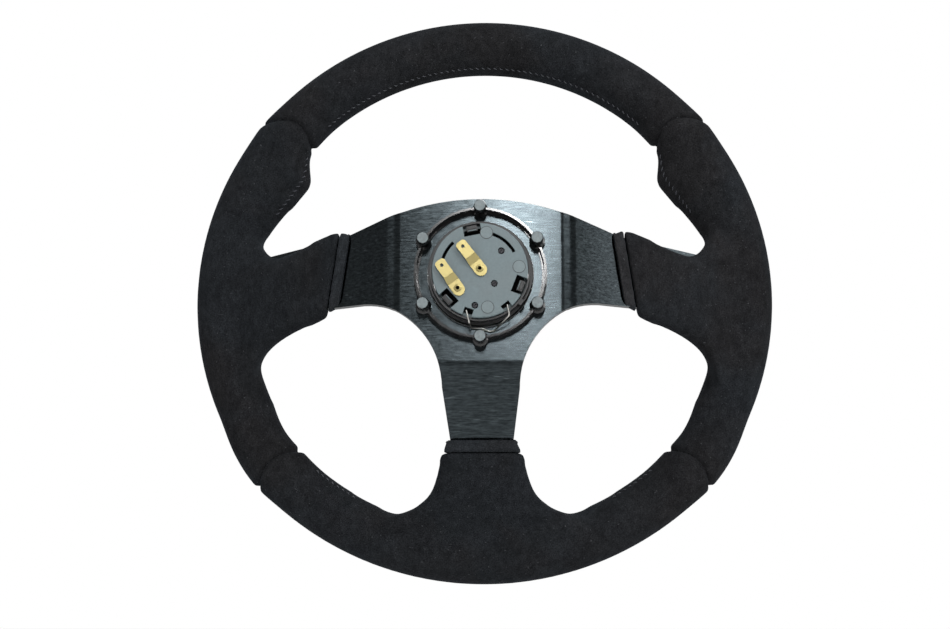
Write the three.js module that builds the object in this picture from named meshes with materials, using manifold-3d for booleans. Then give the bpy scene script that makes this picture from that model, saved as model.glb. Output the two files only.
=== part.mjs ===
// A three-spoke, dished sports steering wheel with a slightly flattened bottom, suede panels over a
// foam rim, and a snap-in horn button. The hub plate's rear face is the XZ plane, its centre is the
// origin, +Z is straight up on the wheel, +Y points to the driver and -Y to the steering column.
import * as THREE from "three";
import { mergeVertices } from "three/addons/utils/BufferGeometryUtils.js";
import Module from "manifold-3d";

const wasm = await Module();
wasm.setup();

// ---------- driving dimensions, millimetres and degrees ----------
const GAP = 0.3; // between pieces that touch
const SLIDE_GAP = 0.4; // around pieces that slide

// Rim
const RIM_RADIUS = 175.3; // outer edge of the grip, round part
const RIM_DISH = 80; // hub plate's rear face to the middle of the rim
const GRIP_RADIAL = 33.3; // grip thickness, inner edge to outer edge
const GRIP_DEPTH = 30; // grip thickness, front to rear
const FLAT_RADIUS = 188; // outer edge of the flattened bottom
const FLAT_CENTRE = 15.9; // height of that arc's centre
const FLAT_STARTS = 24; // degrees below level where the round part ends
const FLAT_ENDS = 38; // degrees below level where the bottom arc is reached
const RIM_STEPS = 48;
const GRIP_SIDES = 10;

// Thumb grips
const THUMB_PROUD = 12.8; // how far they stand into the rim's opening
const THUMB_TOP = 41.5; // degrees above level
const THUMB_CREST = 33;
const THUMB_FOOT = 13;

// Cover panels, foam and core
const SUEDE = 1.5;
const TOP_SEAM = 40; // degrees above level, both sides
const BOTTOM_SEAM = 40; // degrees below level, both sides
const CORE_WIDTH = 12; // hoop, radial
const CORE_DEPTH = 6; // hoop, front to rear

// Spoke frame
const BOLT_CIRCLE = 37; // radius
const PLATE = 5; // sheet thickness
const HUB_HOLE = BOLT_CIRCLE - 7; // radius
const TOP_ARC = 137; // radius of the plate's upper edge
const TOP_EDGE = BOLT_CIRCLE + 7; // height of the plate's upper edge at the middle
const ARC_ENDS = BOLT_CIRCLE + 7; // out from the middle to where that edge runs straight
const SHOULDER = [BOLT_CIRCLE + 43, BOLT_CIRCLE - 10.5]; // out, up: a corner of that edge under the sleeve
const CROTCH = 48.9; // radius of the hollow between a side spoke and the lower spoke
const CROTCH_X = BOLT_CIRCLE + 33.9;
const CROTCH_Z = -(BOLT_CIRCLE + 26.2);
const SIDE_BEND = BOLT_CIRCLE + 13; // half width of the flat hub area
const LOWER_BEND = BOLT_CIRCLE + 16; // from the hub centre down to the lower spoke's bend
const LOWER_WAIST = LOWER_BEND + 39; // down to where the lower spoke is LOWER_HALF wide
const SIDE_END_TOP = 20; // side spoke's end, above the hub centre
const SIDE_END_LOW = -12;
const LOWER_HALF = 18; // half width of the lower spoke where its cover starts
const LOWER_END_HALF = 17;
const TAB = 19; // length of the flat tab on the core hoop
const TAB_BACK = 5; // from the middle of the rim back to the tab's rear face
const RIVET_SPREAD = 18; // between a spoke's two rivets
const RIVET_RADIUS = 2.5;
const RIVET_HEAD = 4.2;

// Spoke sleeves of the cover
const SIDE_SLEEVE = SIDE_BEND + 37; // hub centre to a side sleeve's end, at the height of SLANT_ZERO
const LOWER_SLEEVE = LOWER_BEND + 44.6; // hub centre to the lower sleeve's end
const SLEEVE_SLANT = 0.16; // the side sleeves' ends lean out downwards
const SLANT_ZERO = 4;
const BINDING = 6.4; // width of the folded band at a sleeve's end
const BINDING_TUCK = 1.5; // a band is narrower than its sleeve by this, each side
const SLEEVE_SIDES = 16;
// Side sleeve: [share of the way from its end to the rim's middle, lowest z, highest z, half thickness].
const SIDE_STATIONS = [
  [0, -18.5, 31, 7], [0.195, -22.9, 28, 9.4], [0.321, -25.5, 24.9, 10.9], [0.433, -28.6, 22.4, 12.2],
  [0.53, -32.7, 21.9, 13.2], [0.6, -37.5, 23.6, 13.6], [0.649, -46, 28.5, 13.8], [0.698, -56, 36, 13.8],
  [0.86, -62, 42, 13.2],
];
// Lower sleeve: [share of the way, half width, half thickness].
const LOWER_STATIONS = [
  [0, 23.2, 7], [0.206, 27.1, 9.3], [0.353, 29.9, 11.2], [0.43, 33.3, 12.4], [0.5, 38.6, 13.3],
  [0.551, 46.5, 13.8], [0.612, 58, 13.8], [0.802, 66, 13.2],
];

// Bolt circle and rear peg ring
const BOLT_HOLE = 2.9; // radius
const BOLTS = 6;
const PEG_LENGTH = 15.5; // from the plate to a peg's tip
const PEG_RADIUS = 3.5;
const PEG_TIP = 3.05;
const PEG_COLLAR = 4.6;
const COLLAR_HEIGHT = 4;
const SPIGOT = 2.5; // radius of the part of a peg inside a bolt hole
const RING_INNER = BOLT_CIRCLE - 2;
const RING_OUTER = BOLT_CIRCLE + 0.9;
const RING_FLANGE = 1.6; // thickness of the ring's flat foot
const RING_MIDDLE = BOLT_CIRCLE - 0.25; // radius of the upright wall's middle
const RING_WALL = 1.3;
const RING_HEIGHT = 8.5;

// Front trim ring
const TRIM_OUTER = BOLT_CIRCLE + 7;
const TRIM_INNER = BOLT_CIRCLE - 2.6;
const TRIM_THICK = 3;

// Horn button
const TRAVEL = 2;
const HOUSING_WALL = 2.5;
const HOUSING_FLANGE = BOLT_CIRCLE - 3.2; // radius
const FLANGE_THICK = 2;
const HOUSING_STEP = 1.4; // the rear part is thinner by this
const STEP_AT = 6; // from the plate back to that step
const HOUSING_BACK = 11.7; // from the plate back to the housing's rear edge
const BASE_BACK = 14.5; // from the plate back to the base's rear face
const BASE_THICK = 2.2;
const BASE_SKIRT = 1.9;
const SKIRT_DEPTH = 8.5; // from the base's rear face forward
const KEY_ANGLE = -37.6; // of the key on the housing's rear rim
const KEY_SIZE = [2.4, 5, 3.4];
const BEZEL_THICK = 2.4;
const CAP_PROUD = 6.5; // from the plate's front to the cap's crown
const CAP_DISC = 2.6;
const CAP_SKIRT = 1.7;
const CAP_SKIRT_DEPTH = 9;
const WINDOWS = [100.6, -21, 222]; // degrees round the base
const WINDOW_WIDTH = 10;
const WINDOW_DEPTH = 6.6; // in from the base's edge
const HOOK_WIDTH = 6;
const HOOK_THICK = 1.8;
const HOOK_LIP = 1.5;
const HOOK_TIP = 1.3; // from a hook's tip back to the base's rear face
const HOOK_NOSE = 1.4; // depth of the narrower ridge on the tip
const HOOK_BRIDGE = [3.4, 3]; // from the cap's skirt in to a hook
const LEDGE = 2; // bar of the base that a hook catches on
const SPRINGS = [58, 165, 280];
const SPRING_IN = 7.9; // from the base's edge in to the springs' middles
const SPRING_RADIUS = 3;
const SPRING_WIRE = 0.35;
const SPRING_TURNS = 4;
const CONTACT_THICK = 0.6;
const CONTACT_ABOVE = 5.9; // from the base's rear face forward to the moving contact's rear face
const CONTACT_BORE = 3; // radius
const STRIP_THICK = 0.6;
const STRIP_WIDTH = 0.223; // share of the base's radius
const STRIP_LENGTH = 0.446;

// Terminals: rivet place as a share of the base's radius and an angle; heading in degrees
const TERMINALS = [
  { side: "upper", share: 0.034, angle: 96, heading: 127.5 },
  { side: "lower", share: 0.597, angle: 219.4, heading: 125 },
];
const TERMINAL_THICK = 0.8;
const ROOT_WIDTH = 7;
const BLADE_WIDTH = 6.3;
const ROOT_TAIL = 4.6; // rivet to the rounded root end
const ROOT_AHEAD = 4.6; // rivet to the joggle
const JOGGLE = 4;
const JOGGLE_RISE = 2;
const BLADE_END = 18.6; // rivet to the blade's end
const BLADE_HOLE = 15.3; // rivet to the blade's hole
const RIVET_BORE = 1.1;
const RIVET_TUBE = 1.6;
const RIVET_FLARE = 2.2;

// Base screws (share of the base's radius, angle) and arc slots
const BASE_SCREWS = [[0.605, 42.5], [0.41, -43.5], [0.747, -98]];
const SCREW_SHAFT = 1.1;
const SCREW_HEAD = 1.7;
const SCREW_HEAD_THICK = 1;
const SCREW_LENGTH = 2.6;
const SCREW_SLOT = 0.9; // depth of the driver slot, both sides of the head's face
const ARC_SLOTS = [[28, 72], [133, 162]];
const SLOT_IN = 5.2; // from the base's edge in to the slots' middle
const SLOT_WIDTH = 1.8;

// Wire clip
const CLIP_WIRE = 0.45; // radius
const CLIP_PIVOT_DEPTH = 1.2; // from the base's rear face forward to the pivots
const CLIP_LEFT = [3.15, -108.66]; // in from the base's edge, angle of the left pivot's bend
const CLIP_RIGHT = [2.26, -51.92];
const CLIP_PIN = 2.2; // length of each pivot
const CLIP_LIFT = 1.1; // of the wire's middle over the plate
const CLIP_ROUND = 0.8; // bends
// Corners of the wire between its pivots: [out from the hub hole's edge, angle, beside the plate?].
const CLIP_RUN = [[0, -101.5, false], [1.1, -99.6, true], [0.9, -89.3, true], [1.4, -80.3, true],
  [1.4, -75.6, true], [0.05, -56.9, false]];
const NOTCH = [5, 5.4]; // depth and width of the base's notches round the pivots

// Facets round a full turn
const FINE = 40;
const COARSE = 10;

// ---------- helpers ----------
const rad = THREE.MathUtils.degToRad;
const at = (x, y, z) => new THREE.Vector3(x, y, z);

function toSolid(geometry) {
  const bare = geometry.index ? geometry.toNonIndexed() : geometry.clone();
  bare.deleteAttribute("normal");
  bare.deleteAttribute("uv");
  const merged = mergeVertices(bare, 1e-4);
  return new wasm.Manifold(new wasm.Mesh({
    numProp: 3,
    vertProperties: new Float32Array(merged.attributes.position.array),
    triVerts: new Uint32Array(merged.index.array),
  }));
}

function toGeometry(solid) {
  const mesh = solid.getMesh();
  const geometry = new THREE.BufferGeometry();
  geometry.setAttribute("position", new THREE.BufferAttribute(new Float32Array(mesh.vertProperties), 3));
  geometry.setIndex(new THREE.BufferAttribute(new Uint32Array(mesh.triVerts), 1));
  return geometry;
}

const join = (...solids) => solids.reduce((a, b) => a.add(b));
// A cut panel without the crumbs that a cut can leave.
const largest = (solid) => solid.decompose().sort((a, b) => b.volume() - a.volume())[0];
const cut = (solid, ...tools) => tools.reduce((a, b) => a.subtract(b), solid);

// A closed body through equal loops of points, either capped at both ends or joined into a ring.
function loft(loops, ring = false) {
  const count = loops[0].length;
  const points = loops.flat();
  const faces = [];
  const last = ring ? loops.length : loops.length - 1;
  for (let i = 0; i < last; i++) {
    const a = i * count;
    const b = ((i + 1) % loops.length) * count;
    for (let k = 0; k < count; k++) {
      const n = (k + 1) % count;
      faces.push([a + k, b + k, b + n], [a + k, b + n, a + n]);
    }
  }
  if (!ring) {
    for (const [loop, flip] of [[0, false], [loops.length - 1, true]]) {
      const middle = loops[loop].reduce((m, p) => m.add(p), at(0, 0, 0)).divideScalar(count);
      points.push(middle);
      for (let k = 0; k < count; k++) {
        const a = loop * count + k;
        const b = loop * count + ((k + 1) % count);
        faces.push(flip ? [points.length - 1, b, a] : [points.length - 1, a, b]);
      }
    }
  }
  const volume = faces.reduce((sum, [a, b, c]) =>
    sum + points[a].dot(points[b].clone().cross(points[c])), 0);
  const order = volume > 0 ? faces : faces.map(([a, b, c]) => [a, c, b]);
  const geometry = new THREE.BufferGeometry();
  geometry.setAttribute("position", new THREE.Float32BufferAttribute(points.flatMap((p) => p.toArray()), 3));
  geometry.setIndex(order.flat());
  return toSolid(geometry);
}

// Turned body about the Y axis through (x, z); profile points are [radius, y].
function turned(profile, sides = FINE, x = 0, z = 0) {
  const geometry = new THREE.LatheGeometry(profile.map(([r, y]) => new THREE.Vector2(r, y)), sides);
  geometry.translate(x, 0, z);
  const solid = toSolid(geometry);
  return solid.volume() > 0 ? solid : toSolid(flipped(geometry));
}

function flipped(geometry) {
  const other = geometry.toNonIndexed();
  const p = other.attributes.position;
  for (let i = 0; i < p.count; i += 3) {
    const keep = at(p.getX(i), p.getY(i), p.getZ(i));
    p.setXYZ(i, p.getX(i + 1), p.getY(i + 1), p.getZ(i + 1));
    p.setXYZ(i + 1, keep.x, keep.y, keep.z);
  }
  return other;
}

const pin = (radius, y0, y1, x = 0, z = 0, sides = COARSE) =>
  turned([[0, y0], [radius, y0], [radius, y1], [0, y1]], sides, x, z);

const tube = (inner, outer, y0, y1) =>
  turned([[inner, y0], [outer, y0], [outer, y1], [inner, y1], [inner, y0]]);

// A flat shape in X and Z, from y0 to y1.
function sheet(shape, y0, y1, segments = 10) {
  const geometry = new THREE.ExtrudeGeometry(shape, { depth: y1 - y0, bevelEnabled: false, curveSegments: segments });
  geometry.rotateX(Math.PI / 2);
  geometry.translate(0, y1, 0);
  return toSolid(geometry);
}

// A box turned about the Y axis: centre, size, and its turn in degrees.
function block(centre, size, turn = 0) {
  const geometry = new THREE.BoxGeometry(...size);
  geometry.rotateY(rad(-turn));
  geometry.translate(...centre);
  return toSolid(geometry);
}

const group = new THREE.Group();
function piece(name, solid, colour, roughness, metalness) {
  const material = new THREE.MeshStandardMaterial({ color: colour, roughness, metalness });
  const mesh = new THREE.Mesh(toGeometry(solid), material);
  mesh.name = name;
  group.add(mesh);
}

const SUEDE_LOOK = [0x1d1f20, 0.95, 0];
const FOAM_LOOK = [0x2a2a2a, 0.9, 0];
const PLATE_LOOK = [0x3a3f42, 0.42, 0.9];
const STEEL_LOOK = [0x9a9da0, 0.4, 1];
const GLOSS_LOOK = [0x0c0c0d, 0.25, 0];
const PLASTIC_LOOK = [0x7b868c, 0.45, 0];
const HOUSING_LOOK = [0x17181a, 0.4, 0];
const BRASS_LOOK = [0xe0b860, 0.3, 1];

// ---------- rim ----------
const ease = (from, to, v) => THREE.MathUtils.smoothstep((v - from) / (to - from), 0, 1);

// Outer radius of the grip at an angle in degrees, 0 to the right and 90 at the top.
function rimRadius(angle) {
  const down = -Math.asin(Math.sin(rad(angle))) * (180 / Math.PI);
  const lift = FLAT_CENTRE * Math.sin(rad(down));
  const flat = Math.sqrt(lift * lift - FLAT_CENTRE ** 2 + FLAT_RADIUS ** 2) - lift;
  return THREE.MathUtils.lerp(RIM_RADIUS, flat, ease(FLAT_STARTS, FLAT_ENDS, down));
}

function thumbProud(angle) {
  const up = Math.asin(Math.sin(rad(angle))) * (180 / Math.PI);
  if (up > THUMB_CREST) return THUMB_PROUD * (1 - ease(THUMB_CREST, THUMB_TOP, up));
  return THUMB_PROUD * ease(THUMB_FOOT - 6, THUMB_CREST, up);
}

// Cross-section of the grip at an angle, shrunk by inset.
function gripSection(angle, inset) {
  const outer = rimRadius(angle) - inset;
  const inner = rimRadius(angle) - GRIP_RADIAL - thumbProud(angle) + inset;
  const middle = rimRadius(angle) - GRIP_RADIAL / 2;
  return Array.from({ length: GRIP_SIDES }, (_, k) => {
    const turn = (k / GRIP_SIDES) * 2 * Math.PI;
    const reach = Math.cos(turn) > 0 ? outer - middle : middle - inner;
    const r = middle + reach * Math.cos(turn);
    const y = RIM_DISH + (GRIP_DEPTH / 2 - inset) * Math.sin(turn);
    return at(r * Math.cos(rad(angle)), y, r * Math.sin(rad(angle)));
  });
}

function grip(inset) {
  const step = 360 / RIM_STEPS;
  return loft(Array.from({ length: RIM_STEPS }, (_, i) => gripSection((i + 0.5) * step, inset)), true);
}

// ---------- spoke frame ----------
const RIM_MIDDLE = RIM_RADIUS - GRIP_RADIAL / 2;
const LOWER_MIDDLE = FLAT_RADIUS - FLAT_CENTRE - GRIP_RADIAL / 2;
const TAB_Y = RIM_DISH - TAB_BACK;
const THROUGH = [-60, RIM_DISH + 60]; // y range that passes right through everything

// Bent strip from the hub centre out to a tab on the core: [distance out, y] of its rear face.
function bentLine(bend, middle) {
  return [[0, 0], [bend, 0], [middle - TAB / 2, TAB_Y], [middle + TAB / 2 - 1, TAB_Y]];
}

// Height of a spoke's rear face at a distance out from the hub centre.
function spokeRear(out, bend, middle) {
  const run = (out - bend) / (middle - TAB / 2 - bend);
  return TAB_Y * THREE.MathUtils.clamp(run, 0, 1);
}

// Upright thickness of the sheet where it slopes.
function slopeThick(bend, middle) {
  return PLATE * Math.hypot(TAB_Y, middle - TAB / 2 - bend) / (middle - TAB / 2 - bend);
}

// The strip as a body: offset copies of the bent line, mitred at the bends, spread by grow.
function bentStrip(bend, middle, grow = 0) {
  const line = bentLine(bend, middle).map(([d, y]) => new THREE.Vector2(d, y));
  line[0].x -= 1;
  line[3].x += grow;
  const offset = (distance) => line.map((p, i) => {
    const before = i > 0 ? p.clone().sub(line[i - 1]).normalize() : null;
    const after = i < line.length - 1 ? line[i + 1].clone().sub(p).normalize() : null;
    const a = before ?? after;
    const b = after ?? before;
    const normal = new THREE.Vector2(-a.y - b.y, a.x + b.x).normalize();
    const stretch = 1 / Math.max(0.5, normal.dot(new THREE.Vector2(-a.y, a.x)));
    return p.clone().add(normal.multiplyScalar(distance * stretch));
  });
  return [...offset(-grow), ...offset(PLATE + grow).reverse()];
}

// That strip, wide to both sides, heading out at an angle: 0 right, 90 down, 180 left.
function strip(bend, middle, wide, heading, grow) {
  const section = new THREE.Shape(bentStrip(bend, middle, grow));
  const geometry = new THREE.ExtrudeGeometry(section, { depth: 2 * wide, bevelEnabled: false });
  geometry.translate(0, 0, -wide);
  geometry.rotateY(rad(heading));
  return toSolid(geometry);
}

// Plan outline of the frame, spread by grow.
function frameOutline(grow = 0) {
  const top = TOP_ARC + grow;
  const low = TOP_EDGE - TOP_ARC;
  const end = RIM_MIDDLE + TAB / 2 - 1 + grow;
  const foot = -(LOWER_MIDDLE + TAB / 2 - 1 + grow);
  const leave = Math.asin(ARC_ENDS / TOP_ARC);
  const round = CROTCH - grow;
  const [shoulderX, shoulderZ] = SHOULDER;
  const shape = new THREE.Shape();
  shape.absarc(0, low, top, Math.PI / 2 + leave, Math.PI / 2 - leave, true);
  shape.lineTo(shoulderX, shoulderZ + grow);
  shape.lineTo(end, SIDE_END_TOP + grow);
  shape.lineTo(end, SIDE_END_LOW - grow);
  shape.absarc(CROTCH_X, CROTCH_Z, round, rad(90), rad(180), false);
  shape.lineTo(LOWER_HALF + grow, -LOWER_WAIST);
  shape.lineTo(LOWER_END_HALF + grow, foot);
  shape.lineTo(-LOWER_END_HALF - grow, foot);
  shape.lineTo(-LOWER_HALF - grow, -LOWER_WAIST);
  shape.absarc(-CROTCH_X, CROTCH_Z, round, 0, rad(90), false);
  shape.lineTo(-end, SIDE_END_LOW - grow);
  shape.lineTo(-end, SIDE_END_TOP + grow);
  shape.lineTo(-shoulderX, shoulderZ + grow);
  return shape;
}

function frameBlank(grow = 0) {
  const plan = sheet(frameOutline(grow), ...THROUGH);
  const right = strip(SIDE_BEND, RIM_MIDDLE, SIDE_BEND + 2, 0, grow);
  const left = strip(SIDE_BEND, RIM_MIDDLE, SIDE_BEND + 2, 180, grow);
  const lower = strip(LOWER_BEND, LOWER_MIDDLE, SIDE_BEND - 2, 90, grow);
  const middle = block([0, PLATE / 2, 0], [2 * SIDE_BEND - 4, PLATE + 2 * grow, 2 * LOWER_BEND - 4]);
  return join(right, left, lower, middle).intersect(plan);
}

const boltAngles = Array.from({ length: BOLTS }, (_, i) => 90 + (i * 360) / BOLTS);
const onCircle = (radius, angle) => [radius * Math.cos(rad(angle)), radius * Math.sin(rad(angle))];

const half = RIVET_SPREAD / 2;
const SPOKE_RIVETS = {
  spoke_rivet_left_upper: [-RIM_MIDDLE, SLANT_ZERO + half],
  spoke_rivet_left_lower: [-RIM_MIDDLE, SLANT_ZERO - half],
  spoke_rivet_right_upper: [RIM_MIDDLE, SLANT_ZERO + half],
  spoke_rivet_right_lower: [RIM_MIDDLE, SLANT_ZERO - half],
  spoke_rivet_bottom_left: [-half, -LOWER_MIDDLE],
  spoke_rivet_bottom_right: [half, -LOWER_MIDDLE],
};
const CORE_Y = TAB_Y + PLATE + GAP;

function spokeFrame() {
  const holes = boltAngles.map((a) => pin(BOLT_HOLE, -5, PLATE + 5, ...onCircle(BOLT_CIRCLE, a)));
  const rivets = Object.values(SPOKE_RIVETS).map(([x, z]) => pin(RIVET_RADIUS + GAP, TAB_Y - 5, CORE_Y + 5, x, z));
  return cut(frameBlank(), pin(HUB_HOLE, -5, PLATE + 5, 0, 0, FINE), ...holes, ...rivets);
}

// ---------- rim core ----------
function hoop(grow = 0) {
  const step = 360 / RIM_STEPS;
  return loft(Array.from({ length: RIM_STEPS }, (_, i) => {
    const angle = (i + 0.5) * step;
    const middle = rimRadius(angle) - GRIP_RADIAL / 2;
    const wide = CORE_WIDTH / 2 + grow;
    const [near, far] = [CORE_Y - grow, CORE_Y + CORE_DEPTH + grow];
    return [[middle + wide, near], [middle + wide, far], [middle - wide, far], [middle - wide, near]].map(([r, y]) =>
      at(r * Math.cos(rad(angle)), y, r * Math.sin(rad(angle))));
  }), true);
}

function spokeRivet(x, z, grow = 0) {
  const tail = CORE_Y + CORE_DEPTH + GAP;
  const [r, head] = [RIVET_RADIUS + grow, RIVET_HEAD + grow];
  return turned([
    [0, TAB_Y - GAP - 2 - grow], [head - 1, TAB_Y - GAP - 2 - grow], [head, TAB_Y - GAP - 1],
    [head, TAB_Y - GAP + grow], [r, TAB_Y - GAP + grow], [r, tail - grow], [head, tail - grow],
    [head, tail + 1], [head - 1, tail + 2 + grow], [0, tail + 2 + grow],
  ], COARSE, x, z);
}

// ---------- sleeves of foam and suede over the spokes ----------
// Rounded section round a spoke: points (u across the spoke, up through it), squarish where it is thin.
function sleeveLoop(low, high, thick, place) {
  return Array.from({ length: SLEEVE_SIDES }, (_, k) => {
    const turn = ((k + 0.5) / SLEEVE_SIDES) * 2 * Math.PI;
    const bulge = (v, power) => Math.sign(v) * Math.abs(v) ** power;
    const u = (low + high) / 2 + ((high - low) / 2) * bulge(Math.cos(turn), 0.45);
    return place(u, thick * bulge(Math.sin(turn), 0.6));
  });
}

// A loop round a side spoke, out from the hub centre; slant leans it out downwards.
function sideLoop(out, slant, low, high, thick) {
  const lift = slopeThick(SIDE_BEND, RIM_MIDDLE) / 2;
  return sleeveLoop(low, high, thick, (z, up) => {
    const x = out + slant * (SLANT_ZERO - z);
    return at(x, spokeRear(x, SIDE_BEND, RIM_MIDDLE) + lift + up, z);
  });
}

function lowerLoop(down, half, thick) {
  const lift = slopeThick(LOWER_BEND, LOWER_MIDDLE) / 2;
  return sleeveLoop(-half, half, thick, (x, up) =>
    at(x, spokeRear(down, LOWER_BEND, LOWER_MIDDLE) + lift + up, -down));
}

function sideSleeve(inset) {
  return loft(SIDE_STATIONS.map(([share, low, high, deep], i) => {
    const out = SIDE_SLEEVE + share * (RIM_MIDDLE - SIDE_SLEEVE) + (i === 0 ? inset : 0);
    return sideLoop(out, SLEEVE_SLANT * (1 - share / SIDE_STATIONS.at(-1)[0]), low + inset, high - inset, deep - inset);
  }));
}

function lowerSleeve(inset) {
  return loft(LOWER_STATIONS.map(([share, wide, deep], i) => {
    const down = LOWER_SLEEVE + share * (LOWER_MIDDLE - LOWER_SLEEVE) + (i === 0 ? inset : 0);
    return lowerLoop(down, wide - inset, deep - inset);
  }));
}

const mirrored = (solid) => solid.mirror([1, 0, 0]);

function cover(inset) {
  const right = sideSleeve(inset);
  return join(grip(inset), right, mirrored(right), lowerSleeve(inset));
}

// Everything between two angles, as a wedge-shaped prism.
function sector(from, to) {
  const far = 2.2 * RIM_RADIUS;
  const shape = new THREE.Shape();
  const trim = (GAP / 2 / RIM_MIDDLE) * (180 / Math.PI);
  const steps = Math.ceil((to - from) / 30);
  shape.moveTo(0, 0);
  for (let i = 0; i <= steps; i++) {
    const angle = THREE.MathUtils.lerp(from + trim, to - trim, i / steps);
    shape.lineTo(...onCircle(far, angle));
  }
  return sheet(shape, ...THROUGH);
}

// Folded band at a sleeve's end, round the spoke.
function sideBinding() {
  const [, low, high, deep] = SIDE_STATIONS[0];
  return loft([BINDING + GAP, GAP].map((back) =>
    sideLoop(SIDE_SLEEVE - back, SLEEVE_SLANT, low + BINDING_TUCK, high - BINDING_TUCK, deep - 1)));
}

function lowerBinding() {
  const [, wide, deep] = LOWER_STATIONS[0];
  return loft([BINDING + GAP, GAP].map((back) => lowerLoop(LOWER_SLEEVE - back, wide - BINDING_TUCK, deep - 1)));
}

// ---------- rear peg ring ----------
function pegRing() {
  const flange = tube(RING_INNER, RING_OUTER, -GAP - RING_FLANGE, -GAP);
  const wall = tube(RING_MIDDLE - RING_WALL / 2, RING_MIDDLE + RING_WALL / 2, -RING_HEIGHT, -GAP - RING_FLANGE / 2);
  const tip = -PEG_LENGTH;
  const pegs = boltAngles.map((a) => turned([
    [0, tip], [PEG_TIP, tip], [PEG_RADIUS, tip + 0.6], [PEG_RADIUS, -COLLAR_HEIGHT - 1], [PEG_COLLAR, -COLLAR_HEIGHT],
    [PEG_COLLAR, -GAP], [SPIGOT, -GAP], [SPIGOT, PLATE + GAP + TRIM_THICK], [0, PLATE + GAP + TRIM_THICK],
  ], COARSE, ...onCircle(BOLT_CIRCLE, a)));
  return join(flange, wall, ...pegs);
}

function trimRing() {
  const near = PLATE + GAP;
  const blank = turned([
    [TRIM_INNER, near], [TRIM_OUTER, near], [TRIM_OUTER, near + TRIM_THICK - 1], [TRIM_OUTER - 1, near + TRIM_THICK],
    [TRIM_INNER + 0.6, near + TRIM_THICK], [TRIM_INNER, near + TRIM_THICK - 0.6], [TRIM_INNER, near],
  ]);
  return cut(blank, ...boltAngles.map((a) => pin(BOLT_HOLE, near - 1, near + TRIM_THICK + 1, ...onCircle(BOLT_CIRCLE, a))));
}

// ---------- horn button ----------
const HOUSING_OUTER = HUB_HOLE - GAP;
const HOUSING_BORE = HOUSING_OUTER - HOUSING_WALL;
const FLANGE_Y = PLATE + GAP;
const BEZEL_Y = FLANGE_Y + FLANGE_THICK + GAP;
const BASE_RADIUS = HOUSING_BORE - GAP;
const BASE_INSIDE = -BASE_BACK + BASE_THICK;
const SKIRT_INNER = BASE_RADIUS - BASE_SKIRT;
const CAP_RADIUS = HOUSING_BORE - SLIDE_GAP;
const CROWN_Y = PLATE + CAP_PROUD;
const CONTACT_Y = -BASE_BACK + CONTACT_ABOVE;
const SPRING_CIRCLE = BASE_RADIUS - SPRING_IN;
const CONTACT_RADIUS = SPRING_CIRCLE - 5;
const CAP_POST = SPRING_CIRCLE - 10; // radius of the cap's middle post
const onBase = (share, angle) => onCircle(share * BASE_RADIUS, angle);
const fromEdge = ([inward, angle]) => onCircle(BASE_RADIUS - inward, angle);

function hornHousing() {
  const rear = HOUSING_OUTER - HOUSING_STEP;
  const shell = turned([
    [HOUSING_BORE, -HOUSING_BACK], [rear, -HOUSING_BACK], [rear, -STEP_AT], [HOUSING_OUTER, -STEP_AT],
    [HOUSING_OUTER, FLANGE_Y], [HOUSING_FLANGE, FLANGE_Y], [HOUSING_FLANGE, FLANGE_Y + FLANGE_THICK],
    [HOUSING_BORE, FLANGE_Y + FLANGE_THICK], [HOUSING_BORE, -HOUSING_BACK],
  ]);
  const key = block(lift(rear + 0.4, KEY_ANGLE, -HOUSING_BACK + KEY_SIZE[1] / 2 + 0.1), KEY_SIZE, KEY_ANGLE);
  return join(shell, key);
}

function lift(radius, angle, y) {
  const [x, z] = onCircle(radius, angle);
  return [x, y, z];
}

function hornBezel() {
  return turned([
    [HOUSING_BORE, BEZEL_Y], [HOUSING_FLANGE - 0.3, BEZEL_Y], [HOUSING_FLANGE - 0.3, BEZEL_Y + 0.8],
    [HOUSING_FLANGE - 2.6, BEZEL_Y + BEZEL_THICK], [HOUSING_BORE + 0.8, BEZEL_Y + BEZEL_THICK],
    [HOUSING_BORE, BEZEL_Y + BEZEL_THICK - 0.6], [HOUSING_BORE, BEZEL_Y],
  ]);
}

function windowBlock(angle, deep, wide, y0, y1, outTo = BASE_RADIUS + 1) {
  const centre = (outTo + BASE_RADIUS - deep) / 2;
  return block(lift(centre, angle, (y0 + y1) / 2), [outTo - BASE_RADIUS + deep, y1 - y0, wide], angle);
}

function arcSlot([from, to]) {
  const shape = new THREE.Shape();
  const middle = BASE_RADIUS - SLOT_IN;
  const [inner, outer] = [middle - SLOT_WIDTH / 2, middle + SLOT_WIDTH / 2];
  shape.absarc(0, 0, outer, rad(from), rad(to), false);
  shape.absarc(0, 0, inner, rad(to), rad(from), true);
  return sheet(shape, -BASE_BACK - 1, BASE_INSIDE + 1, 6);
}

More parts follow.
